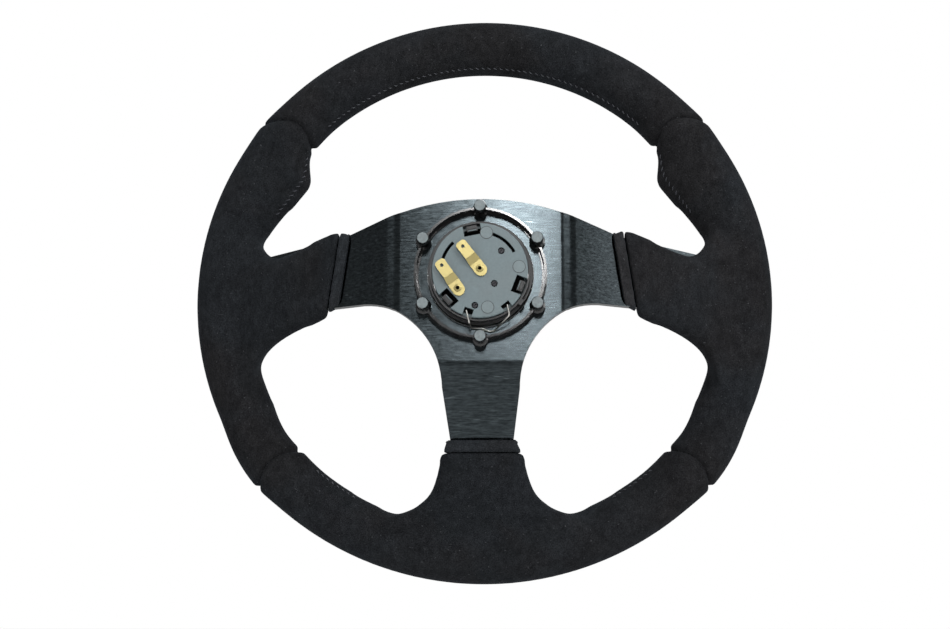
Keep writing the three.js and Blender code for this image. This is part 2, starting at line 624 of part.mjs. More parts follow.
function hornBase() {
  const top = -BASE_BACK + SKIRT_DEPTH;
  const blank = turned([
    [0, -BASE_BACK], [BASE_RADIUS - 0.4, -BASE_BACK], [BASE_RADIUS, -BASE_BACK + 0.4], [BASE_RADIUS, top],
    [SKIRT_INNER, top], [SKIRT_INNER, BASE_INSIDE], [0, BASE_INSIDE],
  ]);
  const windows = WINDOWS.map((a) => windowBlock(a, WINDOW_DEPTH, WINDOW_WIDTH, -BASE_BACK - 1, top - LEDGE));
  const screws = BASE_SCREWS.map((place) => onBase(...place)).flatMap(([x, z]) => [
    pin(SCREW_SHAFT + GAP, -BASE_BACK - 1, BASE_INSIDE + 1, x, z),
    pin(SCREW_HEAD + GAP, -BASE_BACK - 1, -BASE_BACK + SCREW_HEAD_THICK + GAP, x, z),
  ]);
  const rivets = TERMINALS.map((t) =>
    pin(RIVET_TUBE + GAP, -BASE_BACK - 1, BASE_INSIDE + 1, ...onBase(t.share, t.angle)));
  // Each notch reaches a little past its pivot on the side where the pin points.
  const notches = [[CLIP_LEFT, 3], [CLIP_RIGHT, -2]].map(([[inward, angle], lean]) => {
    const [deep, wide] = NOTCH;
    const long = inward + 2.5;
    return block(lift(BASE_RADIUS + 1 - long / 2, angle + lean, -BASE_BACK + 1.5), [long, deep, wide], angle);
  });
  return cut(blank, ...windows, ...ARC_SLOTS.map(arcSlot), ...screws, ...rivets, ...notches);
}

function hornCap() {
  const low = BEZEL_Y - 1;
  const shell = turned([
    [0, CROWN_Y - CAP_DISC - 0.8], [CAP_RADIUS - CAP_SKIRT, CROWN_Y - CAP_DISC - 0.8],
    [CAP_RADIUS - CAP_SKIRT, low - CAP_SKIRT_DEPTH], [CAP_RADIUS, low - CAP_SKIRT_DEPTH],
    [CAP_RADIUS, CROWN_Y - 1.8], [CAP_RADIUS - 1, CROWN_Y - 1], [CAP_RADIUS - 10, CROWN_Y - 0.25], [0, CROWN_Y],
  ]);
  const post = pin(CAP_POST, CONTACT_Y + CONTACT_THICK + GAP, CROWN_Y - CAP_DISC);
  const catchY = -BASE_BACK + SKIRT_DEPTH - LEDGE - GAP; // the lip's face behind the base's ledge
  const tip = -BASE_BACK + HOOK_TIP;
  const outer = SKIRT_INNER - SLIDE_GAP;
  const hooks = WINDOWS.flatMap((a) => {
    const part = (middle, y0, y1, deep, wide) => block(lift(middle, a, (y0 + y1) / 2), [deep, y1 - y0, wide], a);
    const bridgeY = low - CAP_SKIRT_DEPTH + 2;
    return [
      part(outer - HOOK_THICK / 2, tip, low - 4, HOOK_THICK, HOOK_WIDTH),
      part(outer, bridgeY - HOOK_BRIDGE[1] / 2, bridgeY + HOOK_BRIDGE[1] / 2, HOOK_BRIDGE[0], HOOK_WIDTH),
      part(outer + HOOK_LIP / 2 - 0.5, tip, catchY, HOOK_LIP + 1, HOOK_WIDTH),
      part(outer + 0.2, tip - 0.4, tip + HOOK_NOSE - 0.4, HOOK_LIP, HOOK_WIDTH - 1.6),
    ];
  });
  return join(shell, post, ...hooks);
}

function spring(angle) {
  const low = BASE_INSIDE + GAP + SPRING_WIRE;
  const high = CROWN_Y - CAP_DISC - 0.8 - TRAVEL - GAP - SPRING_WIRE;
  const [cx, cz] = onCircle(SPRING_CIRCLE, angle);
  class Coil extends THREE.Curve {
    getPoint(t) {
      const turn = t * SPRING_TURNS * 2 * Math.PI;
      return at(cx + SPRING_RADIUS * Math.cos(turn), THREE.MathUtils.lerp(low, high, t), cz + SPRING_RADIUS * Math.sin(turn));
    }
  }
  return wire(new Coil(), SPRING_WIRE, SPRING_TURNS * 8, 4);
}

function wire(path, radius, steps, sides) {
  const shape = new THREE.Shape(Array.from({ length: sides }, (_, k) =>
    new THREE.Vector2(...onCircle(radius, (k * 360) / sides))));
  return toSolid(new THREE.ExtrudeGeometry(shape, { extrudePath: path, steps, bevelEnabled: false }));
}

// Contacts: the moving disc under the cap, and a strip on the inside of the base at each rivet.
const movingContact = () => tube(CONTACT_BORE, CONTACT_RADIUS, CONTACT_Y, CONTACT_Y + CONTACT_THICK);

function fixedContact({ share, angle, heading }) {
  const [x, z] = onBase(share, angle);
  const near = BASE_INSIDE + GAP;
  const [long, wide] = [STRIP_LENGTH * BASE_RADIUS, STRIP_WIDTH * BASE_RADIUS];
  const [dx, dz] = onCircle(long / 2 - 3.5, heading);
  const bar = block([x - dx, near + STRIP_THICK / 2, z - dz], [long, STRIP_THICK, wide], heading);
  return cut(bar, pin(RIVET_TUBE + GAP, near - 1, near + 2, x, z));
}

// Brass blade with a root on the base, a joggle and a raised flat blade.
function terminal({ share, angle, heading }) {
  const [x, z] = onBase(share, angle);
  const rear = -BASE_BACK - GAP;
  const flat = new THREE.Shape();
  const [root, blade] = [ROOT_WIDTH / 2, BLADE_WIDTH / 2];
  flat.absarc(ROOT_TAIL * -1 + root, 0, root, rad(90), rad(270), false);
  flat.lineTo(ROOT_AHEAD + JOGGLE * 0.3, -root);
  flat.lineTo(ROOT_AHEAD + JOGGLE, -blade);
  flat.absarc(BLADE_END - 2, -blade + 2, 2, rad(270), rad(360), false);
  flat.absarc(BLADE_END - 2, blade - 2, 2, 0, rad(90), false);
  flat.lineTo(ROOT_AHEAD + JOGGLE, blade);
  flat.lineTo(ROOT_AHEAD + JOGGLE * 0.3, root);
  const plan = sheet(flat, -JOGGLE_RISE - 4, 4, 6);
  const t = TERMINAL_THICK;
  const side = new THREE.Shape([
    [-ROOT_TAIL - 1, 0], [ROOT_AHEAD, 0], [ROOT_AHEAD + JOGGLE, -JOGGLE_RISE], [BLADE_END + 1, -JOGGLE_RISE],
    [BLADE_END + 1, -JOGGLE_RISE - t], [ROOT_AHEAD + JOGGLE - 0.3, -JOGGLE_RISE - t], [ROOT_AHEAD - 0.3, -t], [-ROOT_TAIL - 1, -t],
  ].map(([a, b]) => new THREE.Vector2(a, b)));
  const profile = new THREE.ExtrudeGeometry(side, { depth: 2 * ROOT_WIDTH, bevelEnabled: false });
  profile.translate(0, 0, -ROOT_WIDTH);
  const bent = toSolid(profile).intersect(plan);
  const drilled = cut(bent, pin(RIVET_TUBE + GAP, -2, 2), pin(1, -5, 1, BLADE_HOLE));
  return drilled.rotate([0, -heading, 0]).translate([x, rear, z]);
}

function terminalRivet({ share, angle }) {
  const rear = -BASE_BACK - GAP - TERMINAL_THICK - GAP;
  const front = BASE_INSIDE + GAP + STRIP_THICK + GAP;
  return turned([
    [RIVET_BORE, rear - 0.5], [RIVET_FLARE, rear - 0.3], [RIVET_FLARE, rear], [RIVET_TUBE, rear],
    [RIVET_TUBE, front], [RIVET_FLARE, front], [RIVET_FLARE, front + 0.3], [RIVET_BORE, front + 0.3],
    [RIVET_BORE, rear - 0.5],
  ], COARSE, ...onBase(share, angle));
}

function baseScrew(place) {
  const [x, z] = onBase(...place);
  const head = -BASE_BACK + GAP;
  const body = turned([
    [0, head], [SCREW_HEAD - 0.3, head], [SCREW_HEAD, head + 0.3], [SCREW_HEAD, head + SCREW_HEAD_THICK - GAP],
    [SCREW_SHAFT, head + SCREW_HEAD_THICK - GAP], [SCREW_SHAFT, head + SCREW_LENGTH], [0, head + SCREW_LENGTH + 0.5],
  ], COARSE, x, z);
  return cut(body, block([x, head, z], [2 * SCREW_HEAD + 1, SCREW_SLOT, 0.5], 35));
}

function wireClip() {
  const y = -BASE_BACK + CLIP_PIVOT_DEPTH;
  const beside = -CLIP_LIFT - CLIP_WIRE;
  const [left, right] = [CLIP_LEFT, CLIP_RIGHT].map(fromEdge).map(([x, z]) => at(x, y, z));
  const inward = right.clone().sub(left).setLength(CLIP_PIN);
  const run = CLIP_RUN.map(([out, angle, low]) => at(...lift(HUB_HOLE + out, angle, low ? beside : y + 0.3)));
  const corners = [left.clone().add(inward), left, ...run, right, right.clone().sub(inward)];
  const path = new THREE.CurvePath();
  let from = corners[0];
  for (let i = 1; i < corners.length - 1; i++) {
    const a = corners[i].clone().add(corners[i - 1].clone().sub(corners[i]).setLength(CLIP_ROUND));
    const b = corners[i].clone().add(corners[i + 1].clone().sub(corners[i]).setLength(CLIP_ROUND));
    path.add(new THREE.LineCurve3(from, a));
    path.add(new THREE.QuadraticBezierCurve3(a, corners[i], b));
    from = b;
  }
  path.add(new THREE.LineCurve3(from, corners.at(-1)));
  return wire(path, CLIP_WIRE, 44, 6);
}

// ---------- assembly ----------
const spokes = spokeFrame();
piece("spoke_frame", spokes, ...PLATE_LOOK);
const rivetHoles = Object.values(SPOKE_RIVETS).map(([x, z]) => pin(RIVET_RADIUS + GAP, CORE_Y - 5, CORE_Y + CORE_DEPTH + 5, x, z));
piece("rim_core", cut(hoop(), ...rivetHoles), ...STEEL_LOOK);
for (const [name, [x, z]] of Object.entries(SPOKE_RIVETS)) piece(name, spokeRivet(x, z), ...STEEL_LOOK);

const spokeRoom = frameBlank(GAP);
const rivetRoom = Object.values(SPOKE_RIVETS).map(([x, z]) => spokeRivet(x, z, GAP));
const foam = cut(cover(SUEDE + GAP), hoop(GAP), spokeRoom, ...rivetRoom);
piece("rim_foam", foam, ...FOAM_LOOK);

const skin = cut(cover(0), cover(SUEDE), spokeRoom);
const panel = (from, to) => largest(skin.intersect(sector(from, to)));
piece("suede_top", panel(TOP_SEAM, 180 - TOP_SEAM), ...SUEDE_LOOK);
piece("suede_left", panel(180 - TOP_SEAM, 180 + BOTTOM_SEAM), ...SUEDE_LOOK);
piece("suede_right", panel(-BOTTOM_SEAM, TOP_SEAM), ...SUEDE_LOOK);
piece("suede_bottom", panel(180 + BOTTOM_SEAM, 360 - BOTTOM_SEAM), ...SUEDE_LOOK);

const sideBand = cut(sideBinding(), spokeRoom);
piece("binding_right", sideBand, ...SUEDE_LOOK);
piece("binding_left", mirrored(sideBand), ...SUEDE_LOOK);
piece("binding_bottom", cut(lowerBinding(), spokeRoom), ...SUEDE_LOOK);

piece("peg_ring", pegRing(), ...GLOSS_LOOK);
piece("front_trim_ring", trimRing(), ...PLATE_LOOK);
piece("horn_housing", hornHousing(), ...HOUSING_LOOK);
piece("horn_bezel", hornBezel(), ...GLOSS_LOOK);
piece("horn_base", hornBase(), ...PLASTIC_LOOK);
piece("horn_cap", hornCap(), ...HOUSING_LOOK);
piece("contact_disc", movingContact(), ...BRASS_LOOK);
SPRINGS.forEach((angle, i) => piece(`return_spring_${i + 1}`, spring(angle), ...STEEL_LOOK));
for (const t of TERMINALS) {
  piece(`terminal_${t.side}`, terminal(t), ...BRASS_LOOK);
  piece(`terminal_rivet_${t.side}`, terminalRivet(t), ...BRASS_LOOK);
  piece(`contact_strip_${t.side}`, fixedContact(t), ...BRASS_LOOK);
}
BASE_SCREWS.forEach((place, i) => piece(`base_screw_${i + 1}`, baseScrew(place), ...STEEL_LOOK));
piece("wire_clip", wireClip(), ...STEEL_LOOK);

export default group;
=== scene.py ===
"""A dished three-spoke sports steering wheel, seen from the column side."""
import math

import bmesh
import bpy
from mathutils import Matrix, Vector
from mathutils.bvhtree import BVHTree


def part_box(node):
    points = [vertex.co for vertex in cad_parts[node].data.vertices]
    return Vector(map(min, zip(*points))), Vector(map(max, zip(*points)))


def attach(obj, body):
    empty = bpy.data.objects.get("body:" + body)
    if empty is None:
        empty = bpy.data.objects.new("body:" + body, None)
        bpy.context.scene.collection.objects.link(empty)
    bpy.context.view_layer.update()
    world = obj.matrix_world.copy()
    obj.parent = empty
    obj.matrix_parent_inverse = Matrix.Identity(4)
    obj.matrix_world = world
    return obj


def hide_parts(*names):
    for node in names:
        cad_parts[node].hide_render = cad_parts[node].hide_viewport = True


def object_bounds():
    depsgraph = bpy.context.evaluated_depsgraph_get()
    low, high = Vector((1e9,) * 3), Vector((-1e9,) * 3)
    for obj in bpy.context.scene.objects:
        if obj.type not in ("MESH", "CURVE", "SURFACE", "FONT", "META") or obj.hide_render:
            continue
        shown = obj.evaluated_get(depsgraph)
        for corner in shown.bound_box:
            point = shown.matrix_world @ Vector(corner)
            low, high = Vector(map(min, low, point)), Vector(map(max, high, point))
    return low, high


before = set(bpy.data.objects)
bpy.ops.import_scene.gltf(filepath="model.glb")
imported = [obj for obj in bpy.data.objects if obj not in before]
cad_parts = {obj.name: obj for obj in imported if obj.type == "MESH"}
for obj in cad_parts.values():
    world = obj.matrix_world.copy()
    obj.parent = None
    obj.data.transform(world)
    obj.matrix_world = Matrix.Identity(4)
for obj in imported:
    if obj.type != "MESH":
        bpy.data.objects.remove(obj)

CAD_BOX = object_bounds()
MM = 0.001

# ---------- sizes, metres and degrees ----------
# The grip: its middle plane and outer radius come from the frame's top panel.
TOP_LOW, TOP_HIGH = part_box("suede_top")
RIM_Y = (TOP_LOW.y + TOP_HIGH.y) / 2
RIM_OUTER = TOP_HIGH.z + 0.4 * MM
GRIP_RADIAL = 33.3 * MM
GRIP_DEPTH = 30 * MM
FLAT_RADIUS = 188 * MM
FLAT_CENTRE = 15.9 * MM
FLAT_STARTS = 24
FLAT_ENDS = 38
THUMB_PROUD = 12.8 * MM
THUMB_TOP = 41.5
THUMB_CREST = 33
THUMB_FOOT = 13
COVER_VOXEL = 1.25 * MM
# Where the cover's inside corners are rounded most: above each side spoke, and beside the lower one.
CORNERS = [(131 * MM, 27 * MM), (50 * MM, -129 * MM)]
CORNER_REACH = 13 * MM
# Where a sleeve flows into the grip: degrees either side of a spoke, and distances from the hub centre.
SIDE_JOINT = 26
LOWER_JOINT = 34
JOINT_NEAR = 104 * MM
JOINT_FAR = 150 * MM
# How often the cover is relaxed: at those joints, then at the inside corners, then all over.
JOINT_PASSES = 40
CORNER_PASSES = 110
SKIN_PASSES = 5
FOAM_VOXEL = 2.5 * MM
FOAM_UNDER = 4 * MM

# Seams between the panels: degrees from level at the inner edge, then how they curve to the outer edge.
TOP_SEAM = (41.8, 9.1, -12.4)
BOTTOM_SEAM = (39.7, -7.1, 7.7)
# Each seam is straightened into a plane at this angle from level, cut there and curved back. The skin turns
# with it fully up to the first angle from that plane, and not at all past the second.
SEAM_LEVEL = 40
SEAM_TURN_FULL = 9
SEAM_TURN_ENDS = 22
SEAM_INNER = 120 * MM
SEAM_GROOVE = 2.3 * MM
SEAM_WIDTH = 1.7 * MM
SEAM_SWELL = 0.8 * MM
SWELL_WIDTH = 13 * MM

# The spokes' rear faces: half width of the flat hub, and slope of each spoke towards the driver.
SIDE_BEND = 50 * MM
LOWER_BEND = 53 * MM
FRAME_LOW, FRAME_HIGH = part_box("spoke_frame")
SHEET = 5 * MM
TAB_END = 18 * MM
SLEEVE_MIDDLE = 3.2 * MM
BEND_HALF = 4.5 * MM
BEND_SLICES = 8
BEND_SLOPE = 0.77
HUB_HOLE = 30 * MM
PEG_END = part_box("peg_ring")[0].y
BASE_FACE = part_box("horn_base")[0].y

# The stitches: radius of the row round the hub, then the pitch, the slant in degrees, and the thickness.
STITCH_RUN = 140 * MM
STITCH_PITCH = 3.6 * MM
STITCH_LEAN = 2.2
STITCH_RADIUS = 0.32 * MM

# The camera and the floor
VIEW_SIDE = 1.54
VIEW_RISE = -9.5
VIEW_DISTANCE = 1.0
VIEW_TARGET = Vector((-3.1, 0, -22.7)) * MM
SENSOR = 36
LENS = 67.2
FLOOR_DROP = 0.42
FLOOR_SIZE = 40
FLOOR_TONE = 0.86
# Softboxes that all face the hub centre: where, width and height, watts.
SOFTBOXES = {
    "key": ((0.9, -1.25, 0.95), (0.9, 1.0), 22),
    "side_right": ((1.6, -0.15, 0.25), (0.3, 1.0), 5),
    "fill_left": ((-1.3, -0.85, 0.95), (0.9, 0.9), 8),
    "top": ((0, 0.1, 1.7), (2.0, 1.6), 15),
    "front": ((0.7, 1.6, 0.9), (1.2, 1.2), 22),
    "plate_strip": ((0.02, -2.0, 0.57), (0.05, 0.36), 8.5),
}
WORLD_LIGHT = 0.4
WORLD_SEEN = 1.0


# ---------- small helpers ----------
def ease(start, end, value):
    """0 before start, 1 after end, and smooth between them."""
    t = min(1, max(0, (value - start) / (end - start)))
    return t * t * (3 - 2 * t)


def mix(a, b, t):
    return a + (b - a) * t


def polar(radius, angle, y=0):
    """A point at an angle in degrees round the hub, 0 to the right and 90 at the top."""
    return Vector((radius * math.cos(math.radians(angle)), y, radius * math.sin(math.radians(angle))))


def angle_of(point):
    return math.degrees(math.atan2(point.z, point.x))


def above_level(angle):
    """How far above level a direction round the hub points, from -90 to 90 degrees."""
    return math.degrees(math.asin(math.sin(math.radians(angle))))


def to_right(away, y, across):
    """A place on the right spoke: distance out from the hub, depth, and distance across the spoke."""
    return Vector((away, y, across))


def to_left(away, y, across):
    return Vector((-away, y, across))


def downward(away, y, across):
    return Vector((across, y, -away))


def finished(bm, name, material, body="root", smooth_angle=35, replaces=(), flat=False):
    """Turns a bmesh into a piece: named, shaded, given its finish and set to ride on a body."""
    mesh = bpy.data.meshes.new(name)
    bm.to_mesh(mesh)
    bm.free()
    piece = bpy.data.objects.new(name, mesh)
    bpy.context.scene.collection.objects.link(piece)
    mesh.materials.append(material)
    mesh.shade_smooth()
    mesh.set_sharp_from_angle(angle=math.radians(smooth_angle))
    if flat:
        piece.modifiers.new("flat faces stay flat", "WEIGHTED_NORMAL").keep_sharp = True
    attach(piece, body)
    if replaces:
        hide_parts(*replaces)


def solid_of(node):
    """A clean copy of a CAD node's solid: doubles merged, flat areas joined into single faces."""
    bm = bmesh.new()
    bm.from_mesh(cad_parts[node].data)
    bmesh.ops.remove_doubles(bm, verts=bm.verts, dist=0.01 * MM)
    bmesh.ops.dissolve_limit(bm, angle_limit=math.radians(1), verts=bm.verts, edges=bm.edges)
    return bm


def edges_by_angle(bm, low, high=180):
    """Edges whose faces meet at between low and high degrees."""
    return [e for e in bm.edges if len(e.link_faces) == 2
            and low <= math.degrees(e.calc_face_angle(0)) < high]


def rounded(bm, edges, width, segments=2):
    bmesh.ops.bevel(bm, geom=edges, offset=width, offset_type="OFFSET", segments=segments, profile=0.5,
                    affect="EDGES", clamp_overlap=True, material=-1)


def sliced(bm, point, normal, **more):
    """Cuts the faces that a plane crosses."""
    return bmesh.ops.bisect_plane(bm, geom=bm.verts[:] + bm.edges[:] + bm.faces[:], dist=1e-7,
                                  plane_co=point, plane_no=normal, **more)


def relaxed(bm, verts, passes):
    """Evens out a skin: moves each point half way to the middle of its neighbours."""
    for _ in range(passes):
        bmesh.ops.smooth_vert(bm, verts=verts, factor=0.5,
                              use_axis_x=True, use_axis_y=True, use_axis_z=True)


def voxel_skin(mesh, size):
    """One even closed skin round everything in a mesh."""
    body = bpy.data.objects.new("to_skin", mesh)
    bpy.context.scene.collection.objects.link(body)
    remesh = body.modifiers.new("remesh", "REMESH")
    remesh.mode = "VOXEL"
    remesh.voxel_size = size
    skin = bpy.data.meshes.new_from_object(body.evaluated_get(bpy.context.evaluated_depsgraph_get()))
    bpy.data.objects.remove(body)
    bm = bmesh.new()
    bm.from_mesh(skin)
    return bm


# ---------- materials ----------
class Shader:
    """A short way to wire one material's nodes."""

    def __init__(self, name):
        self.material = bpy.data.materials.new(name)
        self.material.use_nodes = True
        self.tree = self.material.node_tree
        self.surface = self.tree.nodes["Principled BSDF"]

    def set(self, **values):
        for key, value in values.items():
            self.surface.inputs[key.replace("_", " ")].default_value = value
        return self

    def node(self, kind, links=None, **values):
        node = self.tree.nodes.new(kind)
        for key, value in values.items():
            if hasattr(node, key):
                setattr(node, key, value)
            else:
                node.inputs[key.replace("_", " ")].default_value = value
        for key, socket in (links or {}).items():
            self.tree.links.new(socket, node.inputs[key])
        return node

    def place(self, stretch=(1, 1, 1)):
        """Object coordinates, stretched."""
        where = self.node("ShaderNodeTexCoord").outputs["Object"]
        mapping = self.node("ShaderNodeMapping", {"Vector": where})
        mapping.inputs["Scale"].default_value = stretch
        return mapping.outputs["Vector"]

    def noise(self, scale, detail=3, rough=0.55, stretch=(1, 1, 1), distortion=0):
        return self.node("ShaderNodeTexNoise", {"Vector": self.place(stretch)}, Scale=scale, Detail=detail,
                         Roughness=rough, Distortion=distortion).outputs["Fac"]

    def ramp(self, value, *stops):
        """Maps a value through colour stops given as (position, colour)."""
        ramp = self.node("ShaderNodeValToRGB", {"Fac": value})
        elements = ramp.color_ramp.elements
        while len(elements) < len(stops):
            elements.new(0.5)
        for element, (position, colour) in zip(elements, stops):
            element.position = position
            element.color = (*colour, 1) if isinstance(colour, tuple) else (colour, colour, colour, 1)
        return ramp.outputs["Color"]

    def blend(self, factor, a, b, mode="MIX"):
        """Mixes two colours; factor, a and b may each be a socket or a value."""
        node = self.node("ShaderNodeMix", data_type="RGBA", blend_type=mode)
        for socket, value in ((node.inputs[0], factor), (node.inputs[6], a), (node.inputs[7], b)):
            if isinstance(value, bpy.types.NodeSocket):
                self.tree.links.new(value, socket)
            else:
                socket.default_value = value if isinstance(value, (int, float)) else (*value, 1)
        return node.outputs[2]

    def link(self, socket, name):
        self.tree.links.new(socket, self.surface.inputs[name])

    def bumps(self, *layers):
        """Stacks bumps given as (height socket, strength, distance in metres)."""
        normal = None
        for height, strength, distance in layers:
            links = {"Height": height}
            if normal:
                links["Normal"] = normal
            bump = self.node("ShaderNodeBump", links, Strength=strength, Distance=distance)
            normal = bump.outputs["Normal"]
        self.link(normal, "Normal")
        return self


def suede(name="suede", lift=1.0):
    """Napped black suede: charcoal with bluer patches, brushed clouds, fine fibre and a little lint."""
    s = Shader(name).set(Roughness=1.0, IOR=1.05, Specular_IOR_Level=0.02)
    s.set(Sheen_Weight=0.035 * lift, Sheen_Roughness=0.4, Sheen_Tint=(0.68, 0.8, 0.92, 1))
    warm = tuple(c * lift for c in (0.0124, 0.0124, 0.0132))
    cool = tuple(c * lift for c in (0.0124, 0.0138, 0.0156))
    patches = s.noise(11, 3, 0.6, distortion=0.4)
    clouds = s.noise(60, 4, 0.65, distortion=0.8)
    strokes = s.noise(300, 3, 0.65, stretch=(1, 1, 0.6))
    fibre = s.noise(1500, 3, 0.75)
    tone = s.ramp(patches, (0.42, warm), (0.6, cool))
    tone = s.blend(0.45, tone, s.ramp(clouds, (0.33, 0.6), (0.7, 1.4)), "MULTIPLY")
    tone = s.blend(0.55, tone, s.ramp(strokes, (0.3, 0.6), (0.7, 1.45)), "MULTIPLY")
    tone = s.blend(0.85, tone, s.ramp(fibre, (0.33, 0.4), (0.7, 1.8)), "MULTIPLY")
    lint = s.ramp(s.noise(820, 1, 0.4), (0.745, 0.0), (0.785, 1.0))
    hairs = s.ramp(s.noise(240, 1, 0.4, stretch=(1, 1, 7)), (0.775, 0.0), (0.8, 0.5))
    pale = s.blend(1.0, lint, hairs, "ADD")
    s.link(s.blend(pale, tone, (0.05, 0.052, 0.056)), "Base Color")
    return s.bumps((strokes, 0.2, 0.4 * MM), (fibre, 0.55, 0.22 * MM)).material


def brushed_plate():
    """Black anodised aluminium, brushed from side to side, with a few bright scratches."""
    s = Shader("brushed_black_aluminium").set(Metallic=1.0, Roughness=0.2, Anisotropic=0.65)
    lines = s.noise(1500, 2, 0.7, stretch=(0.07, 0.5, 1))
    short = s.noise(1000, 2, 0.7, stretch=(0.2, 0.5, 1))
    clouds = s.noise(24, 3, 0.6)
    tone = s.ramp(lines, (0.3, (0.02, 0.0245, 0.027)), (0.7, (0.041, 0.05, 0.054)))
    tone = s.blend(0.75, tone, s.ramp(short, (0.33, 0.5), (0.68, 1.3)), "MULTIPLY")
    tone = s.blend(0.35, tone, s.ramp(clouds, (0.35, 0.7), (0.65, 1.15)), "MULTIPLY")
    scratches = s.ramp(s.noise(700, 1, 0.4, stretch=(0.12, 0.5, 1)), (0.7, 0.0), (0.78, 0.35))
    s.link(s.blend(scratches, tone, (0.13, 0.155, 0.165)), "Base Color")
    s.link(s.ramp(short, (0.3, 0.17), (0.7, 0.25)), "Roughness")
    across = s.node("ShaderNodeTangent", direction_type="UV_MAP", uv_map="grain")
    s.link(across.outputs["Tangent"], "Tangent")
    return s.bumps((lines, 0.1, 0.04 * MM)).material


def turned_plate():
    """Black anodised aluminium turned on a lathe: fine rings round the column's axis."""
    s = Shader("turned_black_aluminium").set(Metallic=1.0, Roughness=0.3)
    rings = s.node("ShaderNodeTexWave", {"Vector": s.place()}, wave_type="RINGS", rings_direction="Y",
                   Scale=260, Distortion=0.6, Detail=2).outputs["Fac"]
    clouds = s.noise(90, 3, 0.6)
    tone = s.ramp(rings, (0.2, (0.045, 0.05, 0.054)), (0.8, (0.075, 0.083, 0.088)))
    s.link(s.blend(0.4, tone, s.ramp(clouds, (0.35, 0.7), (0.65, 1.1)), "MULTIPLY"), "Base Color")
    s.link(s.ramp(rings, (0.2, 0.24), (0.8, 0.34)), "Roughness")
    return s.bumps((rings, 0.12, 0.03 * MM)).material


def moulded(name, colour, rough, grain=700):
    """Moulded plastic with a fine satin skin and slight flow marks."""
    s = Shader(name).set(Roughness=rough, Specular_IOR_Level=0.5)
    flow = s.noise(70, 3, 0.6, distortion=0.8)
    skin = s.noise(grain, 2, 0.6)
    paler = tuple(min(1, c * 1.25 + 0.004) for c in colour)
    tone = s.ramp(flow, (0.35, colour), (0.7, paler))
    s.link(s.blend(0.25, tone, s.ramp(skin, (0.35, 0.6), (0.7, 1.0)), "MULTIPLY"), "Base Color")
    s.link(s.ramp(flow, (0.3, rough * 0.85), (0.7, min(1, rough * 1.2))), "Roughness")
    return s.bumps((skin, 0.12, 0.05 * MM)).material


def metal(name, colour, rough):
    """Bare metal with fine drawing marks and slight tarnish."""
    s = Shader(name).set(Metallic=1.0, Roughness=rough)
    marks = s.noise(1400, 2, 0.6)
    patches = s.noise(70, 2, 0.5)
    darker = tuple(c * 0.72 for c in colour)
    tone = s.blend(0.3, colour, s.ramp(patches, (0.35, darker), (0.65, colour)))
    s.link(s.blend(0.2, tone, s.ramp(marks, (0.3, 0.75), (0.7, 1.0)), "MULTIPLY"), "Base Color")
    s.link(s.ramp(marks, (0.3, rough * 0.92), (0.7, min(1, rough * 1.12))), "Roughness")
    return s.bumps((marks, 0.05, 0.02 * MM)).material


def peg_gloss_with_painted_highlight():
    """Gloss black plastic with satin peg ends, whose light grey colour is a painted highlight standing for
    the lamps' reflection on the flat ends.
    """
    s = Shader("gloss_black_with_painted_highlight_ends").set(Specular_IOR_Level=0.45)
    skin = s.noise(500, 2, 0.6)
    # The mask picks the peg ends, where the grey painted highlight goes.
    rear = s.node("ShaderNodeSeparateXYZ", {"Vector": s.place()}).outputs["Y"]
    ends = s.node("ShaderNodeMapRange", {"Value": rear})
    for socket, value in (("From Min", PEG_END + 0.25 * MM), ("From Max", PEG_END + 0.1 * MM)):
        ends.inputs[socket].default_value = value
    end = ends.outputs["Result"]
    # Painted highlight: this light grey on the peg ends stands for the lamps' reflection on them.
    grey = s.ramp(skin, (0.3, (0.1, 0.122, 0.128)), (0.7, (0.17, 0.2, 0.207)))
    black = s.ramp(skin, (0.3, (0.004, 0.0045, 0.005)), (0.7, (0.008, 0.0085, 0.0095)))
    s.link(s.blend(end, black, grey), "Base Color")
    polished, rubbed = s.ramp(skin, (0.3, 0.12), (0.7, 0.16)), s.ramp(skin, (0.3, 0.42), (0.7, 0.5))
    s.link(s.blend(end, polished, rubbed), "Roughness")
    return s.bumps((skin, 0.06, 0.03 * MM)).material


def thread_finish():
    """Waxed blue-black thread."""
    s = Shader("waxed_thread").set(Roughness=0.6, Sheen_Weight=0.2)
    twist = s.noise(1800, 2, 0.6)
    s.link(s.ramp(twist, (0.35, (0.009, 0.011, 0.016)), (0.7, (0.024, 0.028, 0.04))), "Base Color")
    return s.bumps((twist, 0.4, 0.1 * MM)).material


SUEDE = suede()
BINDING = suede("suede_binding", 1.5)
PLATE = brushed_plate()
TURNED = turned_plate()
GLOSS = moulded("gloss_black_plastic", (0.006, 0.006, 0.0065), 0.2, grain=300)
SATIN_BLACK = moulded("satin_black_plastic", (0.011, 0.0115, 0.0125), 0.42)
PEG_GLOSS_PAINTED_HIGHLIGHT = peg_gloss_with_painted_highlight()
GREY_PLASTIC = moulded("blue_grey_plastic", (0.094, 0.126, 0.135), 0.44)
PAD_PLASTIC = moulded("rubbed_grey_plastic", (0.118, 0.15, 0.158), 0.5)
BRASS = metal("stamped_brass", (0.39, 0.33, 0.145), 0.4)
STEEL = metal("drawn_steel", (0.72, 0.71, 0.67), 0.3)
DARK_STEEL = metal("blackened_steel", (0.022, 0.022, 0.024), 0.34)
# Painted highlight: a bright metal colour for the thin ring round the hub hole, standing for the glint on
# its chamfer.
HOLE_EDGE_PAINTED_GLINT = metal("bright_metal_edge_painted_glint", (0.36, 0.38, 0.39), 0.25)
HOOP_METAL = metal("core_strip", (0.45, 0.45, 0.46), 0.45)
FOAM = moulded("grip_foam", (0.02, 0.02, 0.021), 0.9)
THREAD = thread_finish()


